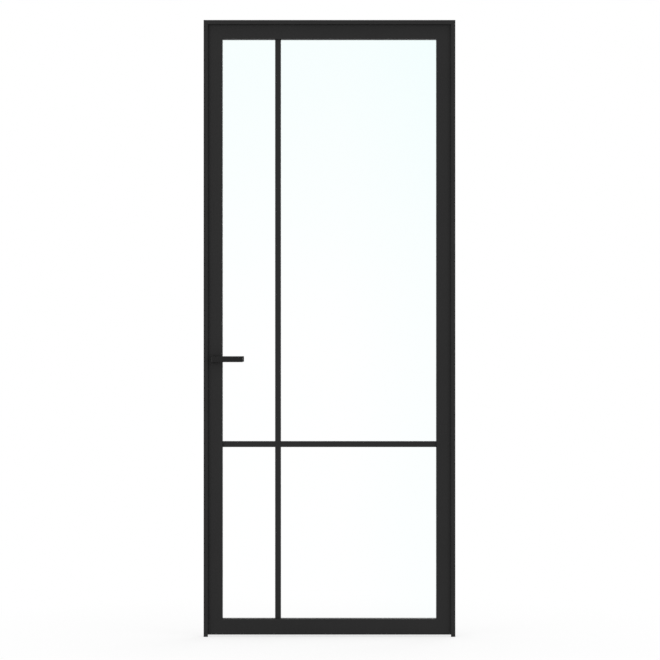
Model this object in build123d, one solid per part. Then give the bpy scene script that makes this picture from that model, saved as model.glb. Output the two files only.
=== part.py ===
from build123d import *
import math
import os

# A steel-look glass door: a glazed leaf with applied bars, hinged in a slim frame, with latch and levers.
# Lengths are millimetres. +Z is up, +X points to the hinge side, +Y to the side that the leaf opens to.
# The origin lies on the floor under the middle of the leaf.

# Fits and cuts
overrun = 1.0
fit_gap = 0.15
turn_gap = 0.05
soft_gap = 0.3

# Leaf
leaf_width = 930.0
leaf_height = 2315.0
leaf_thickness = 40.0
floor_gap = 7.0
edge_gap = 3.0

# Stile and rail profile
member_width = 60.0
outer_wall = 5.0
face_wall = 2.0
groove_floor = 3.0
groove_depth = 16.0
edge_radius = 0.8
cleat_arm = 95.0
cleat_hole_radius = 9.0
cleat_hole_shares = (0.58, 0.84)

# Glass, gasket and setting blocks
glass_thickness = 6.0
glass_cover = 10.0
gasket_wall = 3.0
gasket_floor = 2.0
gasket_set_back = 0.5
setting_block_length = 100.0
setting_block_shares = (0.15, 0.85)

# Glazing bars and their bonding tape
bar_width = 22.0
bar_depth = 8.3
tape_width = 15.0
tape_thickness = 1.0
tape_recess = 0.8
tape_end_gap = 2.0
left_pane_width = 199.0
lower_pane_height = 650.0

# Frame profile, stop and seal
frame_web = 8.0
stop_depth = 10.0
stop_cover = 5.0
stop_wall = 2.0
seal_gap = 3.0
seal_groove_width = 3.0
seal_groove_depth = 5.0
seal_groove_edge = 1.5
seal_head_width = 4.6
key_arm = 45.0
fixing_hole_radius = 3.25
fixing_sink_radius = 6.25
jamb_fixing_shares = (0.045, 0.30, 0.70, 0.96)
head_fixing_shares = (0.2, 0.8)

# Butt hinges
hinge_height = 89.0
hinge_thickness = 2.5
hinge_reach = 30.0
hinge_corner_radius = 6.0
knuckle_radius = 7.0
knuckle_stand = 0.5
knuckle_count = 5
washer_thickness = 0.8
washer_edge = 0.5
washer_play = 0.1
pin_radius = 3.5
pin_head_height = 3.0
pin_head_round = 1.5
upper_hinge_drop = 180.0
lower_hinge_rise = 230.0
hinge_screw_head = 4.7
hinge_screw_shank = 2.5
hinge_screw_places_shares = ((0.3, 0.12), (0.7, 0.37), (0.3, 0.63), (0.7, 0.88))
leaf_hinge_screw_length = 12.0
frame_hinge_screw_length = 7.0

# Levers, spindle and roses
spindle_height = 1043.0
spindle_side = 8.0
spindle_grip = 36.0
lever_travel_degrees = 40.0
lever_height = 21.0
lever_thickness = 10.0
lever_tip_reach = 108.5
lever_stand = 57.0
lever_neck_width = 21.0
lever_outer_round = 2.5
lever_inner_round = 7.0
lever_tip_round = 1.5
lever_edge_round = 1.0
lever_gap = 0.4
spigot_radius = 8.0
grub_radius = 2.5
grub_set_back = 9.0
rose_side = 30.0
rose_depth = 5.0
rose_wall = 1.0
rose_corner_round = 2.0
rose_edge_round = 0.8
rose_base_side = 26.0
rose_base_depth = 3.0
rose_boss_radius = 9.2
rose_screw_head = 2.6
rose_screw_shank = 1.4
rose_screw_length = 7.0
rose_screw_inset = 3.4

# Lock case and forend
forend_thickness = 3.0
forend_width = 20.0
forend_margin = 20.0
forend_screw_inset = 9.0
forend_screw_head = 3.7
forend_screw_shank = 2.0
forend_screw_length = 9.0
case_thickness = 15.0
case_wall = 1.5
case_above = 65.0
case_below = 35.0
case_back_gap = 1.5
case_pocket_gap = 0.5
cover_post_radius = 3.2
cover_post_inset = 4.5
cover_screw_head = 2.4
cover_screw_shank = 1.4
cover_screw_length = 8.0

# Latch bolt, follower and spring
latch_throw = 10.0
latch_thickness = 11.4
latch_height = 20.0
latch_rise = 24.0
latch_nose = 3.0
latch_bevel = 9.0
latch_round = 0.8
latch_head_depth = 12.0
tail_thickness = 5.0
tail_height = 5.5
hook_thickness = 3.5
hub_radius = 7.0
arm_length = 17.1
arm_width = 4.0
arm_tip_radius = 3.5
lost_motion = 1.3
tail_clearance = 1.0
spring_strip = 0.6
spring_width = 8.0
spring_post_radius = 2.5
spring_post_drop = 9.0
spring_knee_share = 0.45
spring_bulge = 3.0

# Strike plate
strike_thickness = 2.0
strike_width = 22.0
strike_margin = 36.0
strike_corner_round = 4.0
strike_screw_inset = 12.0
strike_screw_head = 3.6
strike_screw_shank = 2.0
strike_screw_length = 7.0
strike_window_gap = 1.0
strike_lip_margin = 6.0
strike_lip_round = 2.0

# Places that follow from the sizes above
leaf_left = -leaf_width / 2
leaf_right = leaf_width / 2
leaf_bottom = floor_gap
leaf_top = floor_gap + leaf_height
leaf_middle = floor_gap + leaf_height / 2
leaf_front = -leaf_thickness / 2
leaf_rear = leaf_thickness / 2
groove_width = glass_thickness + 2 * gasket_wall
groove_start = member_width - groove_depth
chamber_end = groove_start - groove_floor
frame_left = leaf_left - edge_gap
frame_right = leaf_right + edge_gap
outer_left = frame_left - frame_web
outer_right = frame_right + frame_web
frame_top = leaf_top + edge_gap + frame_web
stop_reach = frame_web + edge_gap + stop_cover
stop_rear = leaf_front - seal_gap
frame_front = stop_rear - stop_depth
seal_groove_end = stop_reach - seal_groove_edge
seal_groove_start = seal_groove_end - seal_groove_width
key_end = seal_groove_start - stop_wall
knuckle_gap = washer_thickness + 2 * washer_play
hinge_axis_x = leaf_right + edge_gap / 2
hinge_axis_y = leaf_rear + knuckle_stand + knuckle_radius
spindle_x = leaf_left + member_width / 2
spindle_z = leaf_bottom + spindle_height
lever_base = leaf_front - rose_depth - lever_gap
case_front = leaf_left + forend_thickness
case_back = leaf_left + chamber_end - case_back_gap
latch_z = spindle_z + latch_rise


def block(x0, x1, y0, y1, z0, z1):
    """A box between two corners."""
    middle = Pos((x0 + x1) / 2, (y0 + y1) / 2, (z0 + z1) / 2)
    return middle * Box(x1 - x0, y1 - y0, z1 - z0)


def rect(x0, x1, y0, y1):
    """A flat rectangle between two corners."""
    return Pos((x0 + x1) / 2, (y0 + y1) / 2) * Rectangle(x1 - x0, y1 - y0)


def rod(start, direction, radius, length):
    """A round bar that starts at a point."""
    seat = Plane(origin=start, z_dir=direction)
    return seat * Cylinder(radius, length, align=(Align.CENTER, Align.CENTER, Align.MIN))


def rounded(face, corners, radius):
    """The face with the vertices nearest to the given corners rounded."""
    for corner in corners:
        nearest = face.vertices().sort_by_distance(corner)[0]
        face = fillet(nearest, radius)
    return face


def screw(point, outward, head, shank, length):
    """A countersunk screw whose head is flush at the point."""
    sink = head - shank
    cone = Cone(shank, head, sink, align=(Align.CENTER, Align.CENTER, Align.MAX))
    stem = Cylinder(shank, length, align=(Align.CENTER, Align.CENTER, Align.MAX))
    return Plane(origin=point, z_dir=outward) * (cone + stem)


def screw_hole(point, outward, head, shank, length):
    """The cutter for a countersunk screw, open at its head."""
    mouth = rod(point, outward, head + fit_gap, overrun)
    return mouth + screw(point, outward, head + fit_gap, shank + turn_gap, length + fit_gap)


def mitred_bar(section, reach, length, foot_is_mitred):
    """A profile along +Z whose far end, and maybe its foot, is cut at 45 degrees across its reach."""
    foot = reach if foot_is_mitred else 0
    outline = Polygon((0, 0), (reach, foot), (reach, length - reach), (0, length), align=None)
    kept = extrude(Plane.XZ * outline, amount=leaf_thickness + stop_depth + seal_gap, both=True)
    return extrude(section, amount=length) & kept


def corner_angle(inset, width, arm, y0, y1):
    """An L-shaped corner piece with its outer corner at the inset."""
    upright = block(inset, inset + width, y0, y1, inset, inset + arm)
    level = block(inset, inset + arm, y0, y1, inset, inset + width)
    return upright + level


def mirror_side(shape):
    """The shape mirrored from the lock side to the hinge side."""
    return mirror(shape, about=Plane.YZ)


def mirror_rear(shape):
    """The shape mirrored from the front of the leaf to the rear."""
    return mirror(shape, about=Plane.XZ)


def mirror_top(shape):
    """The shape mirrored from the bottom of the leaf to the top."""
    return mirror(shape, about=Plane.XY.offset(leaf_middle))


def leaf_section():
    """The hollow profile of stiles and rails: outer edge at 0, glazing groove at the member's width."""
    inner_face = leaf_rear - face_wall
    outline = rect(0, member_width, leaf_front, leaf_rear)
    outline -= rect(groove_start, member_width + overrun, -groove_width / 2, groove_width / 2)
    edges = outline.vertices().group_by(Axis.X)
    outline = fillet(edges[0] + edges[-1], edge_radius)
    outline -= rect(outer_wall, chamber_end, -inner_face, inner_face)
    leg_start = groove_width / 2 + face_wall
    leg = rect(groove_start, member_width - face_wall, leg_start, inner_face)
    return outline - leg - mirror(leg, about=Plane.XZ)


def gasket_section():
    """The U-shaped gasket that wraps the edge of the glass inside the groove."""
    glass_edge = member_width - glass_cover
    mouth = member_width - gasket_set_back
    outline = rect(glass_edge - gasket_floor, mouth, -groove_width / 2, groove_width / 2)
    return outline - rect(glass_edge, mouth + overrun, -glass_thickness / 2, glass_thickness / 2)


def around_leaf(section):
    """Four mitred lengths of one section around the leaf: lock side, hinge side, top and bottom."""
    upright = mitred_bar(section, member_width, leaf_height, True)
    level = mitred_bar(section, member_width, leaf_width, True)
    lock_side = Pos(leaf_left, 0, leaf_bottom) * upright
    bottom = Plane((leaf_left, 0, leaf_bottom), x_dir=(0, 0, 1), z_dir=(1, 0, 0)) * level
    return lock_side, mirror_side(lock_side), mirror_top(bottom), bottom


def corner_cleats():
    """The four extruded cleats that join the mitred corners from inside the chambers."""
    inset = outer_wall + fit_gap
    width = chamber_end - outer_wall - 2 * fit_gap
    half = leaf_rear - face_wall - fit_gap
    cleat = corner_angle(inset, width, cleat_arm, -half, half)
    for share in cleat_hole_shares:
        along = inset + cleat_arm * share
        across = inset + width / 2
        cleat -= rod((across, -half, along), (0, 1, 0), cleat_hole_radius, 2 * half)
        cleat -= rod((along, -half, across), (0, 1, 0), cleat_hole_radius, 2 * half)
    lock_bottom = Pos(leaf_left, 0, leaf_bottom) * cleat
    lock_top = mirror_top(lock_bottom)
    return lock_bottom, lock_top, mirror_side(lock_bottom), mirror_side(lock_top)


def glass_pane():
    """The single pane, held by its edge cover in the groove all round."""
    side = member_width - glass_cover
    half = glass_thickness / 2
    return block(leaf_left + side, leaf_right - side, -half, half, leaf_bottom + side, leaf_top - side)


def setting_blocks():
    """The blocks between the bottom groove and the gasket, which carry the weight of the glass."""
    low = leaf_bottom + groove_start
    high = leaf_bottom + member_width - glass_cover - gasket_floor
    half = groove_width / 2 - fit_gap
    blocks = Part()
    for share in setting_block_shares:
        middle = leaf_left + leaf_width * share
        start = middle - setting_block_length / 2
        blocks += block(start, start + setting_block_length, -half, half, low, high)
    return blocks


def bar_section():
    """A glazing bar's section: its back at 0 with the tape recess, its rounded face towards -Y."""
    back = tape_recess - tape_thickness
    face = back - bar_depth
    half = bar_width / 2
    outline = rect(-half, half, face, back)
    outline = rounded(outline, [(-half, face), (half, face)], edge_radius)
    return outline - rect(-tape_width / 2, tape_width / 2, back - tape_recess, back + overrun)


def tape_section():
    """The bonding tape between a bar and the glass."""
    return rect(-tape_width / 2, tape_width / 2, -tape_thickness, 0)


def front_bars(section, end_gap):
    """One upright and two level lengths of a section on the front of the glass."""
    glass_face = -glass_thickness / 2
    upright_x = leaf_left + member_width + left_pane_width + bar_width / 2
    level_z = leaf_bottom + member_width + lower_pane_height + bar_width / 2
    foot = leaf_bottom + member_width + end_gap
    upright_length = leaf_height - 2 * member_width - 2 * end_gap
    upright = Pos(upright_x, glass_face, foot) * extrude(section, amount=upright_length)

    def level(start, end):
        seat = Plane((start + end_gap, glass_face, level_z), x_dir=(0, 0, -1), z_dir=(1, 0, 0))
        return seat * extrude(section, amount=end - start - 2 * end_gap)

    left = level(leaf_left + member_width, upright_x - bar_width / 2)
    right = level(upright_x + bar_width / 2, leaf_right - member_width)
    return upright, left, right


def frame_section():
    """The frame's profile: the web against the wall, the hollow stop in front of the leaf."""
    web = rect(0, frame_web, frame_front, leaf_rear)
    stop = rect(0, stop_reach, frame_front, stop_rear)
    outline = web + stop
    tips = [(0, leaf_rear), (frame_web, leaf_rear), (0, frame_front)]
    tips += [(stop_reach, frame_front), (stop_reach, stop_rear)]
    outline = rounded(outline, tips, edge_radius)
    outline -= rect(stop_wall, key_end, frame_front + stop_wall, stop_rear - stop_wall)
    groove_bottom = stop_rear - seal_groove_depth
    return outline - rect(seal_groove_start, seal_groove_end, groove_bottom, stop_rear + overrun)


def seal_section():
    """The stop seal: a foot in the groove and a rounded head just off the closed leaf."""
    middle = (seal_groove_start + seal_groove_end) / 2
    half = seal_head_width / 2
    head_end = leaf_front - soft_gap
    head = rect(middle - half, middle + half, stop_rear, head_end)
    head = rounded(head, [(middle - half, head_end), (middle + half, head_end)], edge_radius)
    foot_bottom = stop_rear - seal_groove_depth + fit_gap
    foot = rect(seal_groove_start + fit_gap, seal_groove_end - fit_gap, foot_bottom, stop_rear)
    return head + foot


def around_frame(section):
    """Lock side, hinge side and head lengths of one section, mitred at the top corners."""
    lock_side = Pos(outer_left, 0, 0) * mitred_bar(section, stop_reach, frame_top, False)
    head_seat = Plane((outer_left, 0, frame_top), x_dir=(0, 0, -1), z_dir=(1, 0, 0))
    head = head_seat * mitred_bar(section, stop_reach, outer_right - outer_left, True)
    return lock_side, mirror_side(lock_side), head


def frame_corner_keys():
    """The two keys in the hollow stop that line up the frame's mitres."""
    y0 = frame_front + stop_wall + fit_gap
    y1 = stop_rear - stop_wall - fit_gap
    inset = stop_wall + fit_gap
    key = corner_angle(inset, key_end - stop_wall - 2 * fit_gap, key_arm, y0, y1)
    lock_key = Pos(outer_left, 0, frame_top) * mirror(key, about=Plane.XY)
    return lock_key + mirror_side(lock_key)


def jamb_fixing_holes():
    """The cutters for the wall screws through the lock jamb's web."""
    holes = Part()
    for share in jamb_fixing_shares:
        point = (frame_left, 0, frame_top * share)
        holes += screw_hole(point, (1, 0, 0), fixing_sink_radius - fit_gap,
                            fixing_hole_radius - turn_gap, frame_web + overrun)
    return holes


def head_fixing_holes():
    """The cutters for the screws through the head's web."""
    holes = Part()
    for share in head_fixing_shares:
        point = (leaf_left + leaf_width * share, 0, frame_top - frame_web)
        holes += screw_hole(point, (0, 0, -1), fixing_sink_radius - fit_gap,
                            fixing_hole_radius - turn_gap, frame_web + overrun)
    return holes


def hinge_middles():
    """The middle height of each hinge, by its name."""
    upper = leaf_top - upper_hinge_drop
    lower = leaf_bottom + lower_hinge_rise
    return {"upper": upper, "middle": (upper + lower) / 2, "lower": lower}


def knuckle_spans(middle):
    """The lower and upper end of each knuckle, from the bottom."""
    height = (hinge_height - (knuckle_count - 1) * knuckle_gap) / knuckle_count
    low = middle - hinge_height / 2
    starts = [low + index * (height + knuckle_gap) for index in range(knuckle_count)]
    return [(start, start + height) for start in starts]


def barrel(low, high, radius):
    """A cylinder on the hinge axis."""
    return rod((hinge_axis_x, hinge_axis_y, low), (0, 0, 1), radius, high - low)


def plate_blank(middle, x0, gap, rear):
    """A hinge plate's flat blank with two rounded corners, or the recess for it."""
    front = leaf_rear - hinge_reach - gap
    low = middle - hinge_height / 2 - gap
    high = middle + hinge_height / 2 + gap
    outline = rect(front, rear, low, high)
    outline = rounded(outline, [(front, low), (front, high)], hinge_corner_radius + gap)
    return Pos(x0, 0, 0) * extrude(Plane.YZ * outline, amount=hinge_thickness)


def hinge_screw_points(middle, x):
    """Where the screws of one hinge plate sit."""
    front = leaf_rear - hinge_reach
    low = middle - hinge_height / 2
    return [(x, front + hinge_reach * across, low + hinge_height * along)
            for across, along in hinge_screw_places_shares]


def hinge_screws(middle, on_frame, shape):
    """The screws of one hinge plate, or the cutters for them."""
    x = frame_right if on_frame else leaf_right
    outward = (-1, 0, 0) if on_frame else (1, 0, 0)
    length = frame_hinge_screw_length if on_frame else leaf_hinge_screw_length
    made = Part()
    for point in hinge_screw_points(middle, x):
        made += shape(point, outward, hinge_screw_head, hinge_screw_shank, length)
    return made


def hinge_plate(middle, on_frame):
    """One half of a butt hinge: its plate, its own knuckles and room for the other half's."""
    x0 = frame_right if on_frame else leaf_right - hinge_thickness
    own = 0 if on_frame else 1
    spans = knuckle_spans(middle)
    plate = plate_blank(middle, x0, 0, hinge_axis_y)
    for index, (low, high) in enumerate(spans):
        if index % 2 != own:
            plate -= barrel(low - knuckle_gap, high + knuckle_gap, knuckle_radius + knuckle_gap)
    for index, (low, high) in enumerate(spans):
        if index % 2 == own:
            plate += barrel(low, high, knuckle_radius)
    plate -= barrel(spans[0][0] - overrun, spans[-1][1] + overrun, pin_radius + turn_gap)
    return plate - hinge_screws(middle, on_frame, screw_hole)


def hinge_recess(middle, on_frame):
    """The recess for a hinge plate in the stile's edge or the jamb's web, open to the rear."""
    x0 = frame_right if on_frame else leaf_right - hinge_thickness
    recess = plate_blank(middle, x0, fit_gap, hinge_axis_y)
    return recess + hinge_screws(middle, on_frame, screw_hole)


def hinge_pin(middle):
    """The pin with a rounded head at each end."""
    low = middle - hinge_height / 2 - washer_play
    high = middle + hinge_height / 2 + washer_play
    head_radius = knuckle_radius - washer_edge
    top = barrel(high, high + pin_head_height, head_radius)
    top = fillet(top.edges().group_by(Axis.Z)[-1], pin_head_round)
    bottom = barrel(low - pin_head_height, low, head_radius)
    bottom = fillet(bottom.edges().group_by(Axis.Z)[0], pin_head_round)
    return top + bottom + barrel(low, high, pin_radius)


def hinge_washers(middle):
    """The washers between the knuckles of one hinge."""
    washers = Part()
    for low, high in knuckle_spans(middle)[:-1]:
        seat = high + washer_play
        ring = barrel(seat, seat + washer_thickness, knuckle_radius - washer_edge)
        washers += ring - barrel(seat, seat + washer_thickness, pin_radius + turn_gap)
    return washers


def front_lever():
    """The L-shaped lever with the round spigot that turns in the rose."""
    left = spindle_x - lever_neck_width / 2
    right = spindle_x + lever_neck_width / 2
    tip = spindle_x + lever_tip_reach
    face = leaf_front - lever_stand
    back = face + lever_thickness
    corners = [(left, lever_base), (left, face), (tip, face)]
    corners += [(tip, back), (right, back), (right, lever_base)]
    plan = Polygon(*corners, align=None)
    plan = rounded(plan, [(left, face)], lever_outer_round)
    plan = rounded(plan, [(tip, face), (tip, back)], lever_tip_round)
    plan = rounded(plan, [(right, back)], lever_inner_round)
    lever = extrude(Pos(0, 0, spindle_z - lever_height / 2) * plan, amount=lever_height)
    rims = lever.edges().group_by(Axis.Z)
    lever = fillet(rims[0] + rims[-1], lever_edge_round)
    spigot_end = leaf_front + face_wall
    lever += rod((spindle_x, lever_base, spindle_z), (0, 1, 0), spigot_radius, spigot_end - lever_base)
    hole_end = leaf_front - spindle_grip - fit_gap
    lever -= square_bar(spindle_side / 2 + turn_gap, hole_end, spigot_end + overrun)
    return lever - rod(grub_seat(), (0, 0, -1), grub_radius + turn_gap, lever_height)


def square_bar(half, y0, y1):
    """A square bar along the spindle's axis."""
    return block(spindle_x - half, spindle_x + half, y0, y1, spindle_z - half, spindle_z + half)


def grub_seat():
    """Where the front lever's grub screw meets the spindle."""
    return (spindle_x, leaf_front - rose_depth - grub_set_back, spindle_z - spindle_side / 2)


def front_grub_screw():
    """The grub screw that clamps the front lever on the spindle."""
    length = lever_height / 2 - spindle_side / 2 - soft_gap
    return rod(grub_seat(), (0, 0, -1), grub_radius, length)


def rose_screw_set(shape):
    """The two screws of the front rose, or the cutters for them."""
    offset = rose_base_side / 2 - rose_screw_inset
    face = leaf_front - rose_base_depth
    made = Part()
    for side in (-1, 1):
        point = (spindle_x + side * offset, face, spindle_z + side * offset)
        made += shape(point, (0, -1, 0), rose_screw_head, rose_screw_shank, rose_screw_length)
    return made


def rose_square(side, corner, y0, y1):
    """A square plate with rounded corners around the spindle's axis."""
    outline = fillet(Rectangle(side, side).vertices(), corner)
    seat = Plane((spindle_x, y1, spindle_z), x_dir=(1, 0, 0), z_dir=(0, -1, 0))
    return seat * extrude(outline, amount=y1 - y0)


def front_rose_base():
    """The plate that carries the lever, with a boss in the stile's hole."""
    base = rose_square(rose_base_side, rose_corner_round, leaf_front - rose_base_depth, leaf_front)
    base += rod((spindle_x, leaf_front, spindle_z), (0, 1, 0), rose_boss_radius, face_wall)
    base -= spindle_bore(spigot_radius + turn_gap)
    return base - rose_screw_set(screw_hole)


def front_rose_cover():
    """The cover that hides the rose's base and screws."""
    cover = rose_square(rose_side, rose_corner_round + rose_wall, leaf_front - rose_depth, leaf_front)
    cover = fillet(cover.edges().group_by(Axis.Y)[0], rose_edge_round)
    inside = rose_base_side + 2 * fit_gap
    ceiling = leaf_front - rose_depth + rose_wall
    cover -= rose_square(inside, rose_corner_round, ceiling, leaf_front + overrun)
    return cover - spindle_bore(spigot_radius + lever_gap)


def spindle_bore(radius):
    """A round bore through the whole front of the leaf around the spindle's axis."""
    start = leaf_front - lever_stand
    return rod((spindle_x, start, spindle_z), (0, 1, 0), radius, lever_stand + leaf_thickness / 2)


def forend_blank(gap, x0, x1):
    """The forend's plate with round ends, or the recess for it."""
    low = spindle_z - case_below - forend_margin - gap
    high = spindle_z + case_above + forend_margin + gap
    half = forend_width / 2 + gap
    outline = rect(-half, half, low + half, high - half)
    outline += Pos(0, low + half) * Circle(half)
    outline += Pos(0, high - half) * Circle(half)
    return Pos(x0, 0, 0) * extrude(Plane.YZ * outline, amount=x1 - x0)


def forend_screw_set(shape):
    """The two forend screws, or the cutters for them."""
    inset = forend_margin - forend_screw_inset
    low = (leaf_left, 0, spindle_z - case_below - inset)
    high = (leaf_left, 0, spindle_z + case_above + inset)
    made = Part()
    for point in (low, high):
        made += shape(point, (-1, 0, 0), forend_screw_head, forend_screw_shank, forend_screw_length)
    return made


def latch_window(gap, x0, x1):
    """The cutter for the latch head's opening."""
    half_y = latch_thickness / 2 + gap
    half_z = latch_height / 2 + gap
    return block(x0, x1, -half_y, half_y, latch_z - half_z, latch_z + half_z)


def lock_forend():
    """The flush plate on the leaf's edge, with the latch opening."""
    plate = forend_blank(0, leaf_left, case_front)
    plate -= latch_window(fit_gap, leaf_left - overrun, case_front + overrun)
    return plate - forend_screw_set(screw_hole)


def spring_post():
    """Where the latch spring is held, as x and z."""
    return case_back - case_wall - 2 * spring_post_radius, spindle_z + case_above - spring_post_drop


def cover_posts():
    """Where the cover's screws are, as x and z: the two lower corners and the upper front one."""
    inset = case_wall + cover_post_inset
    low = spindle_z - case_below + inset
    high = spindle_z + case_above - inset
    return (case_front + inset, low), (case_back - inset, low), (case_front + inset, high)


def cover_screw_set(shape):
    """The three screws that hold the lock's cover, or the cutters for them."""
    made = Part()
    for x, z in cover_posts():
        point = (x, case_thickness / 2, z)
        made += shape(point, (0, 1, 0), cover_screw_head, cover_screw_shank, cover_screw_length)
    return made


def lock_case():
    """The pressed tray of the lock, open to the rear, with the posts of its spring and cover screws."""
    half = case_thickness / 2
    low = spindle_z - case_below
    high = spindle_z + case_above
    tray = block(case_front, case_back, -half, half - case_wall, low, high)
    tray -= block(case_front + case_wall, case_back - case_wall, case_wall - half, half,
                  low + case_wall, high - case_wall)
    post_x, post_z = spring_post()
    tray += rod((post_x, -half, post_z), (0, 1, 0), spring_post_radius, case_thickness - case_wall)
    for x, z in cover_posts():
        tray += rod((x, -half, z), (0, 1, 0), cover_post_radius, case_thickness - case_wall)
    tray -= latch_window(fit_gap, case_front - overrun, case_front + case_wall + overrun)
    return tray - hub_bore() - cover_screw_set(screw_hole)


def lock_case_cover():
    """The flat cover of the lock."""
    half = case_thickness / 2
    low = spindle_z - case_below
    high = spindle_z + case_above
    cover = block(case_front, case_back, half - case_wall, half, low, high)
    return cover - hub_bore() - cover_screw_set(screw_hole)


def hub_bore():
    """The bore in which the follower's hub turns."""
    start = (spindle_x, -case_thickness, spindle_z)
    return rod(start, (0, 1, 0), hub_radius + turn_gap, 2 * case_thickness)


def follower():
    """The square-holed hub whose arm leans forward at rest and stands upright when the lever is down."""
    hub = rod((0, -case_thickness / 2, 0), (0, 1, 0), hub_radius, case_thickness)
    outline = rect(-arm_width / 2, arm_width / 2, 0, arm_length)
    outline += Pos(0, arm_length) * Circle(arm_tip_radius)
    arm = extrude(Plane.XZ * outline, amount=tail_thickness / 2, both=True)
    body = hub + Rot(0, -lever_travel_degrees, 0) * arm
    body = Pos(spindle_x, 0, spindle_z) * body
    return body - square_bar(spindle_side / 2 + turn_gap, -case_thickness, case_thickness)


def latch_bolt():
    """The bevelled latch with a tail that bridges the follower's arm and hooks behind it."""
    half = latch_thickness / 2
    tip = leaf_left - latch_throw
    head_back = leaf_left + latch_head_depth
    nose = (tip, half - latch_nose)
    corners = [(tip, half), nose, (tip + latch_bevel, -half), (head_back, -half), (head_back, half)]
    plan = rounded(Polygon(*corners, align=None), [(tip, half), nose], latch_round)
    bolt = extrude(Pos(0, 0, latch_z - latch_height / 2) * plan, amount=latch_height)
    lean = math.radians(lever_travel_degrees)
    face = spindle_x - arm_length * math.sin(lean) + arm_tip_radius + lost_motion
    bridge = spindle_z + arm_length + arm_tip_radius + tail_clearance
    hook_end = spindle_z + arm_length * math.cos(lean) - arm_tip_radius / 2
    half_tail = tail_thickness / 2
    tail_end = face + hook_thickness
    bolt += block(head_back, tail_end, -half_tail, half_tail, bridge, bridge + tail_height)
    return bolt + block(face, tail_end, -half_tail, half_tail, hook_end, bridge)


def latch_spring():
    """The bent leaf spring from its post to the back of the latch head."""
    post_x, post_z = spring_post()
    top_x = post_x - spring_post_radius - spring_strip
    foot_x = leaf_left + latch_head_depth + spring_strip
    foot_z = latch_z + latch_height / 2 - spring_post_radius
    knee_x = foot_x + (top_x - foot_x) * spring_knee_share + spring_bulge
    knee_z = foot_z + (post_z - foot_z) * spring_knee_share
    line = Polyline((top_x, post_z), (knee_x, knee_z), (foot_x, foot_z))
    strip = trace(line, spring_strip)
    return extrude(Plane.XZ * strip, amount=spring_width / 2, both=True)


def lock_stile(blank):
    """The lock stile with its forend recess, case pocket and spindle holes."""
    half = case_thickness / 2 + case_pocket_gap
    low = spindle_z - case_below - case_pocket_gap
    high = spindle_z + case_above + case_pocket_gap
    stile = blank - forend_blank(fit_gap, leaf_left - overrun, case_front)
    stile -= block(leaf_left - overrun, leaf_left + outer_wall + overrun, -half, half, low, high)
    stile -= forend_screw_set(screw_hole)
    front_holes = spindle_bore(rose_boss_radius + fit_gap) + rose_screw_set(screw_hole)
    return stile - front_holes - mirror_rear(front_holes)


def strike_outline(gap):
    """The strike plate's flat outline in the lock jamb, or the recess for it."""
    half_z = latch_height / 2 + strike_margin + gap
    front = -strike_width / 2 - gap
    rear = strike_width / 2 + gap
    outline = rect(front, rear, latch_z - half_z, latch_z + half_z)
    outline = fillet(outline.vertices(), strike_corner_round)
    lip = latch_height / 2 + strike_lip_margin + gap
    return outline + rect(0, leaf_rear + soft_gap, latch_z - lip, latch_z + lip)


def strike_screw_set(shape):
    """The two strike screws, or the cutters for them."""
    reach = latch_height / 2 + strike_margin - strike_screw_inset
    made = Part()
    for side in (-1, 1):
        point = (frame_left, 0, latch_z + side * reach)
        made += shape(point, (1, 0, 0), strike_screw_head, strike_screw_shank, strike_screw_length)
    return made


def strike_plate():
    """The plate that catches the latch, with a lip that curls behind the jamb's rear edge."""
    x0 = frame_left - strike_thickness
    plate = Pos(x0, 0, 0) * extrude(Plane.YZ * strike_outline(0), amount=strike_thickness)
    lip = latch_height / 2 + strike_lip_margin
    outer = strike_lip_round + strike_thickness
    curl = Circle(outer) - Circle(strike_lip_round)
    curl = curl & rect(0, outer, 0, outer)
    centre = Pos(x0 - strike_lip_round, leaf_rear + soft_gap, latch_z - lip)
    plate += extrude(centre * curl, amount=2 * lip)
    plate -= latch_window(strike_window_gap, x0 - overrun, frame_left + overrun)
    return plate - strike_screw_set(screw_hole)


def lock_jamb(blank):
    """The lock jamb with its strike recess, latch opening and wall fixings."""
    x0 = frame_left - strike_thickness
    recess = extrude(Plane.YZ * strike_outline(fit_gap), amount=strike_thickness + overrun)
    jamb = blank - Pos(x0, 0, 0) * recess
    jamb -= latch_window(strike_window_gap, outer_left - overrun, frame_left + overrun)
    return jamb - strike_screw_set(screw_hole) - jamb_fixing_holes()


def frame_nodes():
    """The pieces that stay still."""
    lock_blank, hinge_blank, head = around_frame(frame_section())
    seal_lock, seal_hinge, seal_head = around_frame(seal_section())
    hinge_blank -= mirror_side(jamb_fixing_holes())
    nodes = {"strike_plate": strike_plate(), "strike_screws": strike_screw_set(screw)}
    screws = Part()
    washers = Part()
    for name, middle in hinge_middles().items():
        hinge_blank -= hinge_recess(middle, True)
        nodes[name + "_hinge_frame_plate"] = hinge_plate(middle, True)
        nodes[name + "_hinge_pin"] = hinge_pin(middle)
        screws += hinge_screws(middle, True, screw)
        washers += hinge_washers(middle)
    nodes["frame_hinge_screws"] = screws
    nodes["hinge_washers"] = washers
    nodes["lock_jamb"] = lock_jamb(lock_blank)
    nodes["hinge_jamb"] = hinge_blank
    nodes["frame_head"] = head - head_fixing_holes()
    nodes["frame_corner_keys"] = frame_corner_keys()
    nodes["stop_seal_lock_side"] = seal_lock
    nodes["stop_seal_hinge_side"] = seal_hinge
    nodes["stop_seal_head"] = seal_head
    return nodes


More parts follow.
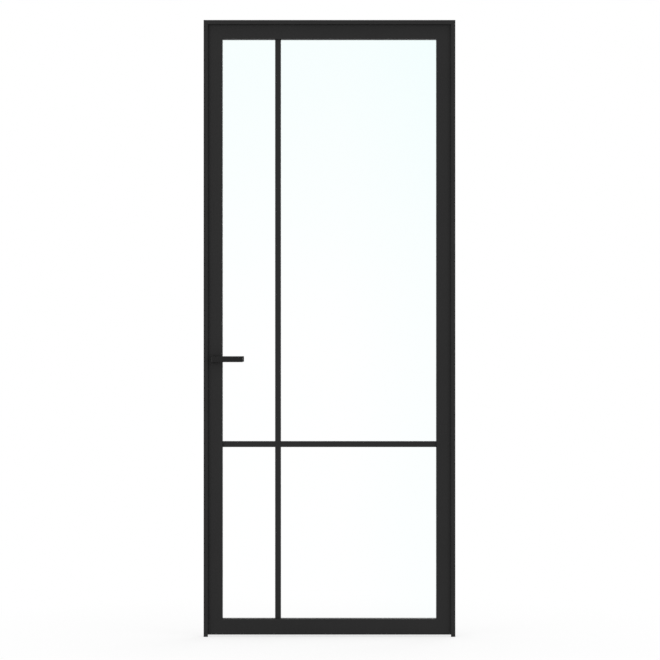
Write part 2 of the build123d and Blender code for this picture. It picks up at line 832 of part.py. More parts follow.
def leaf_nodes():
    """The pieces that swing with the leaf."""
    lock_blank, hinge_blank, top, bottom = around_leaf(leaf_section())
    gaskets = around_leaf(gasket_section())
    cleats = corner_cleats()
    nodes = {"lock_stile": lock_stile(lock_blank), "top_rail": top, "bottom_rail": bottom}
    screws = Part()
    for name, middle in hinge_middles().items():
        hinge_blank -= hinge_recess(middle, False)
        nodes[name + "_hinge_leaf_plate"] = hinge_plate(middle, False)
        screws += hinge_screws(middle, False, screw)
    nodes["leaf_hinge_screws"] = screws
    nodes["hinge_stile"] = hinge_blank
    for name, gasket in zip(("lock_side", "hinge_side", "top", "bottom"), gaskets):
        nodes["gasket_" + name] = gasket
    for name, cleat in zip(("lock_bottom", "lock_top", "hinge_bottom", "hinge_top"), cleats):
        nodes["corner_cleat_" + name] = cleat
    nodes["glass_pane"] = glass_pane()
    nodes["setting_blocks"] = setting_blocks()
    return nodes


def bar_nodes():
    """The glazing bars on both faces of the glass, with their tapes."""
    nodes = {}
    for name, bar in zip(("vertical_bar", "left_bar", "right_bar"), front_bars(bar_section(), 0)):
        nodes["front_" + name] = bar
        nodes["rear_" + name] = mirror_rear(bar)
    upright, left, right = front_bars(tape_section(), tape_end_gap)
    tapes = upright + left + right
    nodes["front_bar_tapes"] = tapes
    nodes["rear_bar_tapes"] = mirror_rear(tapes)
    return nodes


def lock_nodes():
    """The lock, the roses, the levers and the latch."""
    rose_screws = rose_screw_set(screw)
    grub = front_grub_screw()
    nodes = {"lock_case": lock_case(), "lock_case_cover": lock_case_cover(), "lock_forend": lock_forend()}
    nodes["case_cover_screws"] = cover_screw_set(screw)
    nodes["forend_screws"] = forend_screw_set(screw)
    nodes["latch_spring"] = latch_spring()
    nodes["latch_bolt"] = latch_bolt()
    nodes["follower"] = follower()
    nodes["spindle"] = square_bar(spindle_side / 2, leaf_front - spindle_grip, leaf_rear + spindle_grip)
    nodes["rose_screws"] = rose_screws + mirror_rear(rose_screws)
    nodes["lever_grub_screws"] = grub + mirror_rear(grub)
    front = {"lever": front_lever(), "rose_base": front_rose_base(), "rose_cover": front_rose_cover()}
    for name, piece in front.items():
        nodes["front_" + name] = piece
        nodes["rear_" + name] = mirror_rear(piece)
    return nodes


def main():
    """Builds every piece and writes each to its own file."""
    os.makedirs("parts", exist_ok=True)
    nodes = {**frame_nodes(), **leaf_nodes(), **bar_nodes(), **lock_nodes()}
    for name, shape in nodes.items():
        export_step(shape, f"parts/{name}.step")


main()
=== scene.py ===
"""Looks of a steel-look glass door: a glazed leaf with applied bars, hung in a slim black frame."""

import logging
import math
from dataclasses import dataclass
from enum import Enum
from typing import Any, Iterable

import bmesh
import bpy
from mathutils import Matrix, Vector


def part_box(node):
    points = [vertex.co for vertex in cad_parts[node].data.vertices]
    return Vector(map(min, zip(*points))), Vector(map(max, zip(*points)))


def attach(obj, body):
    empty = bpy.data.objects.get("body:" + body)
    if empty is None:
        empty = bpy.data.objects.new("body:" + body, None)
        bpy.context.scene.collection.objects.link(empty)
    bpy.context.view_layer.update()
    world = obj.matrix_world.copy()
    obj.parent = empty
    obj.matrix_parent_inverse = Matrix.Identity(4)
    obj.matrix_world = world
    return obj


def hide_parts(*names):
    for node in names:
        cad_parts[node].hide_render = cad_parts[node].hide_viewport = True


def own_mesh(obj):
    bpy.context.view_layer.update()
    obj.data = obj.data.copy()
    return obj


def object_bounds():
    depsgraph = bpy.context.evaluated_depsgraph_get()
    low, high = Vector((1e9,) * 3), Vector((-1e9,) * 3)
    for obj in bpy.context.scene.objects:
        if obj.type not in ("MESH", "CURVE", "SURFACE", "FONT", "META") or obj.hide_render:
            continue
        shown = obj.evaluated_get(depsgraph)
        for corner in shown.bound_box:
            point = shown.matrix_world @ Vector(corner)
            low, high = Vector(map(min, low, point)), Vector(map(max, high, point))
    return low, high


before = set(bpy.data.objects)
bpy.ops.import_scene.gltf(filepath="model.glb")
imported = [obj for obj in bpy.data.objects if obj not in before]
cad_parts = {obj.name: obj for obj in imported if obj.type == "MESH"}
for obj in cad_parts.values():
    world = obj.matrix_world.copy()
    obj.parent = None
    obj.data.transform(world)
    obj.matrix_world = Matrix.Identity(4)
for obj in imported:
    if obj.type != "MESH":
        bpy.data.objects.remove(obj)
CAD_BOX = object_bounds()

LOG = logging.getLogger("glass_door")
HINGE_LEVELS = ("upper", "middle", "lower")
SMOOTH_ANGLE = math.radians(30.0)

WHITE = (1.0, 1.0, 1.0, 1.0)
# The paler colour laid on faces that look up: partly a dusty film, partly painted top light.
DUSTING_AND_TOP_LIGHT_COLOUR = (0.20, 0.19, 0.18, 1.0)
# The middle of a noise's range, where nearly all of it lies
NOISE_SPAN = (0.3, 0.7)
UNIT_SPAN = (0.0, 1.0)

Colour = tuple[float, float, float]
Place = tuple[float, float, float]
Socket = bpy.types.NodeSocket
Edges = list[bmesh.types.BMEdge]


class Slot(Enum):
    """The record's material slots."""

    PROFILE = "black_coated_profile"
    HARDWARE = "black_hardware"
    GLASS = "clear_glass"
    RUBBER = "seal_rubber"
    FOAM = "bonding_foam"
    BLOCK = "block_plastic"
    ZINC = "zinc_steel"
    MILL = "bare_aluminium"
    NYLON = "washer_nylon"


class Body(Enum):
    """The bodies that carry new pieces."""

    FRAME = "frame"
    LEAF = "door_leaf"
    LEVERS = "lever_set"


class Drive(Enum):
    """A screw's recess: how many corners its outline has, and how far every second one is drawn in."""

    HEX = (6, 1.0)
    STAR = (12, 0.74)


class Way(Enum):
    """The way that a screw's head looks, as the front view shows it."""

    LEFT = (-1.0, 0.0, 0.0)
    RIGHT = (1.0, 0.0, 0.0)
    FRONT = (0.0, -1.0, 0.0)
    REAR = (0.0, 1.0, 0.0)
    DOWN = (0.0, 0.0, -1.0)


class NodeSheet:
    """Short calls for filling a node tree."""

    def __init__(self, tree: bpy.types.NodeTree) -> None:
        """Keeps the tree that is filled."""
        self.tree = tree

    def add(
        self, kind: str, sockets: dict[str | int, Any] | None = None, **settings: Any
    ) -> bpy.types.Node:
        """Adds one node.

        Args:
            kind: The node's type name.
            sockets: Values or output sockets for the node's inputs, by name or number.
            **settings: Attributes of the node, set before its sockets.

        Returns:
            The new node.
        """
        node = self.tree.nodes.new(kind)
        for name, value in settings.items():
            setattr(node, name, value)
        for key, value in (sockets or {}).items():
            if isinstance(value, Socket):
                self.tree.links.new(value, node.inputs[key])
            else:
                node.inputs[key].default_value = value
        return node

    def math(self, operation: str, first: Any, second: Any = 0.0) -> Socket:
        """One Math node's result."""
        return self.add("ShaderNodeMath", {0: first, 1: second}, operation=operation).outputs[0]

    def span(self, value: Socket, source: tuple[float, float], target: tuple[float, float]) -> Socket:
        """Stretches a value from one range to another and clamps it.

        Args:
            value: The socket that is stretched.
            source: The two values that give the ends of the target.
            target: The results at those two values.

        Returns:
            The stretched value's socket.
        """
        limits = {"From Min": source[0], "From Max": source[1], "To Min": target[0], "To Max": target[1]}
        return self.add("ShaderNodeMapRange", {"Value": value, **limits}).outputs[0]

    def blend(self, share: Socket, first: Any, second: Any) -> Socket:
        """Mixes two colours by a share."""
        return self.add("ShaderNodeMix", {0: share, 6: first, 7: second}, data_type="RGBA").outputs[2]

    def noise(self, vector: Socket, scale: Any, detail: float = 2.0) -> Socket:
        """A noise texture's value."""
        sockets = {"Vector": vector, "Scale": scale, "Detail": detail}
        return self.add("ShaderNodeTexNoise", sockets).outputs[0]

    def place(self, group: bpy.types.NodeTree, sockets: dict[str | int, Any]) -> bpy.types.NodeOutputs:
        """Places a shared effect with its own values and gives its outputs."""
        return self.add("ShaderNodeGroup", sockets, node_tree=group).outputs

    def bump(self, height: Socket, depth: float, strength: float) -> Socket:
        """A normal that follows a height of the given depth in metres."""
        sockets = {"Height": height, "Distance": depth, "Strength": strength}
        return self.add("ShaderNodeBump", sockets).outputs[0]


class SharedEffects:
    """The shader groups that several finishes use, each built once."""

    def __init__(self) -> None:
        """Builds the groups."""
        self.coat_grain = self._coat_grain()
        self.edge_wear_and_highlight = self._edge_wear_and_highlight()
        self.ledge_dusting_and_top_light = self._ledge_dusting_and_top_light()
        self.drawn_lines = self._drawn_lines()

    @staticmethod
    def _start(
        name: str, values: Iterable[str], results: Iterable[str]
    ) -> tuple[NodeSheet, bpy.types.NodeOutputs, bpy.types.NodeInputs]:
        """Makes an empty group.

        Args:
            name: The group's name.
            values: The names of its float inputs, beside a vector input named Vector.
            results: The names of its float outputs.

        Returns:
            The group's sheet, its input sockets and its output sockets.
        """
        tree = bpy.data.node_groups.new(name, "ShaderNodeTree")
        tree.interface.new_socket("Vector", in_out="INPUT", socket_type="NodeSocketVector")
        for label in values:
            tree.interface.new_socket(label, in_out="INPUT", socket_type="NodeSocketFloat")
        for label in results:
            tree.interface.new_socket(label, in_out="OUTPUT", socket_type="NodeSocketFloat")
        sheet = NodeSheet(tree)
        return sheet, sheet.add("NodeGroupInput").outputs, sheet.add("NodeGroupOutput").inputs

    def _coat_grain(self) -> bpy.types.NodeTree:
        """The fine relief of a sprayed coat, and its slow drift in tone.

        Returns:
            The group.
        """
        coarse_scale, fine_share, coarse_share = 0.23, 0.6, 0.4
        drift_span = (0.32, 0.68)
        sheet, given, result = self._start("coat_grain", ("Grain", "Drift"), ("Relief", "Tone"))
        fine = sheet.noise(given["Vector"], given["Grain"], detail=3.0)
        wide = sheet.math("MULTIPLY", given["Grain"], coarse_scale)
        coarse = sheet.noise(given["Vector"], wide, detail=1.0)
        relief = sheet.math(
            "ADD", sheet.math("MULTIPLY", fine, fine_share), sheet.math("MULTIPLY", coarse, coarse_share)
        )
        tone = sheet.span(sheet.noise(given["Vector"], given["Drift"]), drift_span, UNIT_SPAN)
        sheet.tree.links.new(relief, result["Relief"])
        sheet.tree.links.new(tone, result["Tone"])
        return sheet.tree

    def _edge_wear_and_highlight(self) -> bpy.types.NodeTree:
        """Paler colour along an edge, broken up along it: partly a coat run thinner there, partly a
        painted highlight.

        Returns:
            The group.
        """
        turn_span, break_scale, break_span = (0.995, 0.9), 38.0, (0.5, 1.0)
        sheet, given, result = self._start("edge_wear_and_highlight", ("Width",), ("Edge",))
        soft = sheet.add("ShaderNodeBevel", {"Radius": given["Width"]}, samples=4).outputs[0]
        flat = sheet.add("ShaderNodeNewGeometry").outputs["Normal"]
        facing = sheet.add(
            "ShaderNodeVectorMath", {0: soft, 1: flat}, operation="DOT_PRODUCT"
        ).outputs["Value"]
        edge = sheet.span(facing, turn_span, UNIT_SPAN)
        broken = sheet.span(sheet.noise(given["Vector"], break_scale), NOISE_SPAN, break_span)
        sheet.tree.links.new(sheet.math("MULTIPLY", edge, broken), result["Edge"])
        return sheet.tree

    def _ledge_dusting_and_top_light(self) -> bpy.types.NodeTree:
        """A paler mask on faces that look up: partly a dusty film, partly painted top light.

        Returns:
            The group.
        """
        level_span, patch_span = (0.7, 0.98), (0.4, 1.0)
        sheet, given, result = self._start("ledge_dusting_and_top_light", ("Patch",), ("DustingAndTopLight",))
        normal = sheet.add("ShaderNodeNewGeometry").outputs["Normal"]
        upward = sheet.add("ShaderNodeSeparateXYZ", {0: normal}).outputs["Z"]
        level = sheet.span(upward, level_span, UNIT_SPAN)
        cloud = sheet.noise(given["Vector"], given["Patch"], detail=4.0)
        patch = sheet.span(cloud, NOISE_SPAN, patch_span)
        sheet.tree.links.new(sheet.math("MULTIPLY", level, patch), result["DustingAndTopLight"])
        return sheet.tree

    def _drawn_lines(self) -> bpy.types.NodeTree:
        """Fine lines along the height, as rolling and drawing leave on bare metal.

        Returns:
            The group.
        """
        stretch = (1.0, 1.0, 0.03)
        sheet, given, result = self._start("drawn_lines", ("Scale",), ("Lines",))
        pulled = sheet.add(
            "ShaderNodeVectorMath", {0: given["Vector"], 1: stretch}, operation="MULTIPLY"
        ).outputs[0]
        streaks = sheet.noise(pulled, given["Scale"], detail=4.0)
        lines = sheet.span(streaks, NOISE_SPAN, UNIT_SPAN)
        sheet.tree.links.new(lines, result["Lines"])
        return sheet.tree


def rgba(colour: Colour, factor: float = 1.0) -> tuple[float, float, float, float]:
    """A linear colour, made lighter or darker, with full alpha."""
    return (colour[0] * factor, colour[1] * factor, colour[2] * factor, 1.0)


@dataclass(frozen=True)
class Finish:
    """A finish that is made into one material.

    Attributes:
        name: The material's name.
        slot: The record's slot that it belongs to.
    """

    name: str
    slot: Slot

    def material(self, effects: SharedEffects) -> bpy.types.Material:
        """Makes the material, or gives the one that was made before.

        Args:
            effects: The shared shader groups.

        Returns:
            The finish as a material.
        """
        known = bpy.data.materials.get(self.name)
        if known is not None:
            return known
        made = bpy.data.materials.new(self.name)
        made.use_nodes = True
        sheet = NodeSheet(made.node_tree)
        spot = sheet.add("ShaderNodeTexCoord").outputs["Object"]
        self.shade(sheet, made.node_tree.nodes["Principled BSDF"], spot, effects)
        return made

    def shade(self, sheet: NodeSheet, skin: bpy.types.Node, spot: Socket, effects: SharedEffects) -> None:
        """Fills the material.

        Args:
            sheet: The material's node tree.
            skin: Its Principled BSDF.
            spot: The object coordinates.
            effects: The shared shader groups.
        """
        raise NotImplementedError


@dataclass(frozen=True)
class BlackCoat(Finish):
    """A black coat on metal.

    Attributes:
        colour: The coat's linear colour.
        roughness: How matt it is.
        grain: Grains per metre of the fine relief.
        relief: The relief's depth in metres.
        shine: The specular level.
        dusting_and_top_light: The most of the paler mix on a level face, partly a dusty film and partly
            painted top light.
        grip: The two places along X between which hands polish it, or none.
        polish: How much smoother it gets there.
        drift: Patches per metre of its slow change in tone.
        tones: The darkest and the lightest tone beside the colour.
        edge_width: How far in from an edge the paler colour reaches.
        edge_share: How much of the paler colour shows there: partly a coat run thinner, partly a painted
            highlight.
        edge_tone: The paler colour's tone beside the colour.
        dusting_and_top_light_patch: Patches per metre of that paler mix.
        matt_swing: How far the roughness goes up and down.
        bump_share: How much of the relief shows.
    """

    colour: Colour
    roughness: float
    grain: float
    relief: float
    shine: float
    dusting_and_top_light: float
    grip: tuple[float, float] | None = None
    polish: float = 0.11
    drift: float = 4.5
    tones: tuple[float, float] = (0.92, 1.08)
    edge_width: float = 0.0012
    edge_share: float = 0.25
    edge_tone: float = 2.0
    dusting_and_top_light_patch: float = 24.0
    matt_swing: float = 0.05
    bump_share: float = 0.35

    def shade(self, sheet: NodeSheet, skin: bpy.types.Node, spot: Socket, effects: SharedEffects) -> None:
        """Lays the coat with its grain, its paler edges that are partly a thinner coat and partly a
        painted highlight, its paler faces that look up that are partly a dusty film and partly painted top
        light, and its polish.

        Args:
            sheet: The material's node tree.
            skin: Its Principled BSDF.
            spot: The object coordinates.
            effects: The shared shader groups.
        """
        grain = sheet.place(effects.coat_grain, {"Vector": spot, "Grain": self.grain, "Drift": self.drift})
        edge = sheet.place(effects.edge_wear_and_highlight, {"Vector": spot, "Width": self.edge_width})["Edge"]
        dusting_and_top_light = sheet.place(effects.ledge_dusting_and_top_light, {"Vector": spot, "Patch": self.dusting_and_top_light_patch})["DustingAndTopLight"]
        tone = sheet.blend(grain["Tone"], *(rgba(self.colour, factor) for factor in self.tones))
        # Painted highlight along the edges, together with the thinner coat there.
        thinned_and_highlit_share = sheet.math("MULTIPLY", edge, self.edge_share)
        thinned_and_highlit = sheet.blend(thinned_and_highlit_share, tone, rgba(self.colour, self.edge_tone))
        # Faces that look up get paler: partly a dusty film, partly painted top light.
        dusted_and_top_lit = sheet.blend(sheet.math("MULTIPLY", dusting_and_top_light, self.dusting_and_top_light), thinned_and_highlit, DUSTING_AND_TOP_LIGHT_COLOUR)
        limits = (self.roughness - self.matt_swing, self.roughness + self.matt_swing)
        matt = sheet.span(grain["Relief"], NOISE_SPAN, limits)
        if self.grip is not None:
            along = sheet.add("ShaderNodeSeparateXYZ", {0: spot}).outputs["X"]
            held = sheet.math("MULTIPLY", sheet.span(along, self.grip, (0.0, self.polish)), grain["Tone"])
            matt = sheet.math("SUBTRACT", matt, held)
        sheet.tree.links.new(dusted_and_top_lit, skin.inputs["Base Color"])
        sheet.tree.links.new(matt, skin.inputs["Roughness"])
        bump = sheet.bump(grain["Relief"], self.relief, self.bump_share)
        sheet.tree.links.new(bump, skin.inputs["Normal"])
        skin.inputs["Specular IOR Level"].default_value = self.shine


@dataclass(frozen=True)
class ClearGlass(Finish):
    """Clear float glass with a painted reflection: a pale cyan that deepens towards the top and the right.

    Attributes:
        clear: The glass's linear colour low in the pane, below the painted reflection.
        painted_reflection_colour: The linear colour of the painted reflection, reached at the top.
        fade: The heights between which the painted reflection comes in.
        waviness: The depth of the surface's slow waves in metres.
        rise_share: How much of the painted reflection the height brings.
        aside: The places along X between which more of the painted reflection comes in.
        aside_share: How much of the painted reflection that brings.
        drift: Patches per metre of its slow change.
        drift_swing: How far that goes up and down.
        waves: Waves per metre.
        wave_share: How much of the waves shows.
        index: The index of refraction.
    """

    clear: Colour
    painted_reflection_colour: Colour
    fade: tuple[float, float]
    waviness: float
    rise_share: float = 0.66
    aside: tuple[float, float] = (0.05, 0.42)
    aside_share: float = 0.28
    drift: float = 1.1
    drift_swing: float = 0.05
    waves: float = 2.6
    wave_share: float = 0.2
    index: float = 1.5

    def shade(self, sheet: NodeSheet, skin: bpy.types.Node, spot: Socket, effects: SharedEffects) -> None:
        """Makes the glass with its painted reflection, a random drift and waves.

        Args:
            sheet: The material's node tree.
            skin: Its Principled BSDF.
            spot: The object coordinates.
            effects: The shared shader groups; not used here.
        """
        # Painted reflection: the colour goes over to a pale cyan towards the top and the right; the noise
        # drift beside it is random tone.
        axes = sheet.add("ShaderNodeSeparateXYZ", {0: spot}).outputs
        rise = sheet.span(axes["Z"], self.fade, (0.0, self.rise_share))
        aside = sheet.span(axes["X"], self.aside, (0.0, self.aside_share))
        swing = (-self.drift_swing, self.drift_swing)
        drift = sheet.span(sheet.noise(spot, self.drift, detail=1.0), NOISE_SPAN, swing)
        share = sheet.math("ADD", sheet.math("ADD", rise, aside), drift)
        glass_tint_and_reflection = sheet.blend(share, rgba(self.clear), rgba(self.painted_reflection_colour))
        swell = sheet.noise(spot, self.waves, detail=1.0)
        waves = sheet.bump(swell, self.waviness, self.wave_share)
        sheet.tree.links.new(glass_tint_and_reflection, skin.inputs["Base Color"])
        sheet.tree.links.new(waves, skin.inputs["Normal"])
        skin.inputs["Transmission Weight"].default_value = 1.0
        skin.inputs["Roughness"].default_value = 0.0
        skin.inputs["IOR"].default_value = self.index


@dataclass(frozen=True)
class SoftBlack(Finish):
    """Rubber, foam or moulded plastic.

    Attributes:
        colour: The linear colour.
        roughness: How matt it is.
        grain: Grains per metre of its skin.
        relief: The skin's depth in metres.
        bloom: How much paler its patches are.
        drift: Such patches per metre.
        dusting_and_top_light: The most of the paler mix on a level face, partly a dusty film and partly
            painted top light.
        dusting_and_top_light_patch: Patches per metre of that paler mix.
        matt_swing: How far the roughness goes up and down.
        bump_share: How much of the relief shows.
        shine: The specular level.
    """

    colour: Colour
    roughness: float
    grain: float
    relief: float
    bloom: float
    drift: float = 15.0
    dusting_and_top_light: float = 0.06
    dusting_and_top_light_patch: float = 40.0
    matt_swing: float = 0.08
    bump_share: float = 0.5
    shine: float = 0.3

    def shade(self, sheet: NodeSheet, skin: bpy.types.Node, spot: Socket, effects: SharedEffects) -> None:
        """Makes the soft skin with its bloom, and a paler mix on faces that look up, partly a dusty film
        and partly painted top light.

        Args:
            sheet: The material's node tree.
            skin: Its Principled BSDF.
            spot: The object coordinates.
            effects: The shared shader groups.
        """
        grain = sheet.place(effects.coat_grain, {"Vector": spot, "Grain": self.grain, "Drift": self.drift})
        dusting_and_top_light = sheet.place(effects.ledge_dusting_and_top_light, {"Vector": spot, "Patch": self.dusting_and_top_light_patch})["DustingAndTopLight"]
        tone = sheet.blend(grain["Tone"], rgba(self.colour), rgba(self.colour, self.bloom))
        # Faces that look up get paler: partly a dusty film, partly painted top light.
        dusted_and_top_lit = sheet.blend(sheet.math("MULTIPLY", dusting_and_top_light, self.dusting_and_top_light), tone, DUSTING_AND_TOP_LIGHT_COLOUR)
        limits = (self.roughness - self.matt_swing, self.roughness + self.matt_swing)
        matt = sheet.span(grain["Relief"], NOISE_SPAN, limits)
        sheet.tree.links.new(dusted_and_top_lit, skin.inputs["Base Color"])
        sheet.tree.links.new(matt, skin.inputs["Roughness"])
        bump = sheet.bump(grain["Relief"], self.relief, self.bump_share)
        sheet.tree.links.new(bump, skin.inputs["Normal"])
        skin.inputs["Specular IOR Level"].default_value = self.shine


@dataclass(frozen=True)
class BareMetal(Finish):
    """Plated or bare metal with drawn lines.

    Attributes:
        colour: The linear colour.
        roughness: The mean roughness.
        lines: Lines per metre across the draw.
        stain: The linear colour of its darker patches.
        stain_share: How much of the stain shows.
        drift: Stains per metre.
        edge_width: How far in from an edge it is rubbed bright.
        edge_share: How much of the bright colour shows there.
        edge_tone: The bright edge's tone beside the colour.
        matt_swing: How far the roughness goes up and down.
        line_depth: The lines' depth in metres.
        bump_share: How much of that depth shows.
    """

    colour: Colour
    roughness: float
    lines: float
    stain: Colour
    stain_share: float = 0.5
    drift: float = 60.0
    edge_width: float = 0.0006
    edge_share: float = 0.4
    edge_tone: float = 1.25
    matt_swing: float = 0.09
    line_depth: float = 0.00002
    bump_share: float = 0.4

    def shade(self, sheet: NodeSheet, skin: bpy.types.Node, spot: Socket, effects: SharedEffects) -> None:
        """Makes the metal with its lines, stains and rubbed edges.

        Args:
            sheet: The material's node tree.
            skin: Its Principled BSDF.
            spot: The object coordinates.
            effects: The shared shader groups.
        """
        lines = sheet.place(effects.drawn_lines, {"Vector": spot, "Scale": self.lines})["Lines"]
        tone = sheet.place(effects.coat_grain, {"Vector": spot, "Drift": self.drift})["Tone"]
        stained = sheet.math("MULTIPLY", tone, self.stain_share)
        patch = sheet.blend(stained, rgba(self.colour), rgba(self.stain))
        edge = sheet.place(effects.edge_wear_and_highlight, {"Vector": spot, "Width": self.edge_width})["Edge"]
        rubbed = sheet.math("MULTIPLY", edge, self.edge_share)
        bright = sheet.blend(rubbed, patch, rgba(self.colour, self.edge_tone))
        limits = (self.roughness - self.matt_swing, self.roughness + self.matt_swing)
        matt = sheet.span(lines, UNIT_SPAN, limits)
        sheet.tree.links.new(bright, skin.inputs["Base Color"])
        sheet.tree.links.new(matt, skin.inputs["Roughness"])
        sheet.tree.links.new(sheet.bump(lines, self.line_depth, self.bump_share), skin.inputs["Normal"])
        skin.inputs["Metallic"].default_value = 1.0


SATIN_BLACK = (0.0060, 0.0059, 0.0060)

MATT_COAT = BlackCoat(
    name="matt_black_coat",
    slot=Slot.PROFILE,
    colour=(0.0104, 0.0102, 0.0103),
    roughness=0.50,
    grain=850.0,
    relief=0.00006,
    shine=0.21,
    dusting_and_top_light=0.09,
)
SATIN_COAT = BlackCoat(
    name="satin_black_coat",
    slot=Slot.HARDWARE,
    colour=SATIN_BLACK,
    roughness=0.38,
    grain=1300.0,
    relief=0.00003,
    shine=0.18,
    dusting_and_top_light=0.06,
)
HANDLED_COAT = BlackCoat(
    name="handled_black_coat",
    slot=Slot.HARDWARE,
    colour=SATIN_BLACK,
    roughness=0.40,
    grain=1300.0,
    relief=0.00003,
    shine=0.17,
    dusting_and_top_light=0.04,
    grip=(-0.42, -0.36),
)
# The pane's pale cyan towards the top and the right is a painted reflection.
PANE_GLASS = ClearGlass(
    name="pale_clear_glass",
    slot=Slot.GLASS,
    clear=(0.997, 1.0, 1.0),
    painted_reflection_colour=(0.885, 0.995, 0.993),
    fade=(1.05, 2.35),
    waviness=0.0004,
)
SEAL_RUBBER = SoftBlack(
    name="seal_rubber_black",
    slot=Slot.RUBBER,
    colour=(0.011, 0.011, 0.011),
    roughness=0.72,
    grain=1500.0,
    relief=0.00004,
    bloom=1.5,
)
BAR_TAPE = SoftBlack(
    name="bar_tape_foam",
    slot=Slot.FOAM,
    colour=(0.014, 0.014, 0.014),
    roughness=0.80,
    grain=2200.0,
    relief=0.00005,
    bloom=1.3,
)
BLOCK_PLASTIC = SoftBlack(
    name="setting_block_plastic",
    slot=Slot.BLOCK,
    colour=(0.035, 0.035, 0.035),
    roughness=0.55,
    grain=1100.0,
    relief=0.00003,
    bloom=1.2,
)
WASHER_NYLON = SoftBlack(
    name="washer_nylon_black",
    slot=Slot.NYLON,
    colour=(0.025, 0.025, 0.025),
    roughness=0.45,
    grain=1600.0,
    relief=0.00002,
    bloom=1.2,
)
ZINC_PLATE = BareMetal(
    name="zinc_plated_steel",
    slot=Slot.ZINC,
    colour=(0.56, 0.57, 0.58),
    roughness=0.36,
    lines=420.0,
    stain=(0.44, 0.44, 0.42),
)
MILL_METAL = BareMetal(
    name="mill_aluminium",
    slot=Slot.MILL,
    colour=(0.62, 0.63, 0.64),
    roughness=0.44,
    lines=300.0,
    stain=(0.52, 0.52, 0.53),
)


@dataclass(frozen=True)
class Screw:
    """A flush screw with a drive recess.

    Attributes:
        head: The head's radius.
        shank: The shank's radius.
        length: From the head's face to the tip.
        drive: The recess.
        recess: The recess's outer radius.
        depth: The recess's depth.
        sides: Faces round the screw.
        recess_taper: The recess's floor beside its mouth.
        tip_share: The tip's part of the length.
        tip_taper: The tip's end beside the shank.
    """

    head: float
    shank: float
    length: float
    drive: Drive
    recess: float
    depth: float
    sides: int = 24
    recess_taper: float = 0.94
    tip_share: float = 0.1
    tip_taper: float = 0.8

    def template(self) -> bpy.types.Mesh:
        """Builds the screw at the origin, with its head looking up.

        Returns:
            The screw's mesh.
        """
        bm = bmesh.new()
        rim = self._loop(bmesh.ops.create_circle(bm, segments=self.sides, radius=self.head)["verts"])
        mouth = self._mouth(bm)
        bmesh.ops.bridge_loops(bm, edges=rim + mouth)
        floor = self._extend(bm, mouth, -self.depth, self.recess_taper)
        bmesh.ops.edgeloop_fill(bm, edges=floor)
        sink = self.head - self.shank
        neck = self._extend(bm, rim, -sink, self.shank / self.head) if sink > 0 else rim
        point = self.length * self.tip_share
        stem = self._extend(bm, neck, sink + point - self.length, 1.0)
        tip = self._extend(bm, stem, -point, self.tip_taper)
        bmesh.ops.edgeloop_fill(bm, edges=tip)
        bmesh.ops.recalc_face_normals(bm, faces=bm.faces[:])
        mesh = bpy.data.meshes.new("screw_template")
        bm.to_mesh(mesh)
        bm.free()
        return mesh

    def set_at(self, places: Iterable[tuple[Vector, Way]]) -> bmesh.types.BMesh:
        """Sets a copy of the screw at each place.

        Args:
            places: The middle of each head's face, and the way that the head looks.

        Returns:
            All screws in one mesh.
        """
        template = self.template()
        upright = Vector((0.0, 0.0, 1.0))
        bm = bmesh.new()
        for point, way in places:
            start = len(bm.verts)
            bm.from_mesh(template)
            bm.verts.ensure_lookup_table()
            turn = upright.rotation_difference(Vector(way.value)).to_matrix().to_4x4()
            bmesh.ops.transform(bm, matrix=Matrix.Translation(point) @ turn, verts=bm.verts[start:])
        bpy.data.meshes.remove(template)
        return bm

    def _mouth(self, bm: bmesh.types.BMesh) -> Edges:
        """Draws the recess's outline in the head's face.

        Args:
            bm: The mesh.

        Returns:
            The outline as a closed loop of edges.
        """
        corners, pull = self.drive.value
        verts = bmesh.ops.create_circle(bm, segments=corners, radius=self.recess)["verts"]
        bmesh.ops.scale(bm, vec=(pull, pull, 1.0), verts=verts[1::2])
        cuts = self.sides // corners - 1
        bmesh.ops.subdivide_edges(bm, edges=self._loop(verts), cuts=cuts)
        return [edge for edge in bm.edges if not edge.link_faces and self._inside(edge)]

    def _inside(self, edge: bmesh.types.BMEdge) -> bool:
        """True for a loose edge of the recess's outline at the origin."""
        reach = (self.head + self.recess) / 2
        return all(vert.co.length < reach for vert in edge.verts)

    @staticmethod
    def _loop(verts: list[bmesh.types.BMVert]) -> Edges:
        """The edges of a ring of vertices."""
        return list({edge for vert in verts for edge in vert.link_edges})

    @staticmethod
    def _extend(bm: bmesh.types.BMesh, edges: Edges, rise: float, scale: float) -> Edges:
        """Extrudes a loop along Z and scales its far end.

        Args:
            bm: The mesh.
            edges: The loop.
            rise: How far it goes along Z.
            scale: The far end's size beside the loop's.

        Returns:
            The far loop's edges.
        """
        made = bmesh.ops.extrude_edge_only(bm, edges=edges)["geom"]
        verts = [item for item in made if isinstance(item, bmesh.types.BMVert)]
        far = set(verts)
        bmesh.ops.scale(bm, vec=(scale, scale, 1.0), verts=verts)
        bmesh.ops.translate(bm, vec=(0.0, 0.0, rise), verts=verts)
        return [item for item in made if isinstance(item, bmesh.types.BMEdge) and set(item.verts) <= far]


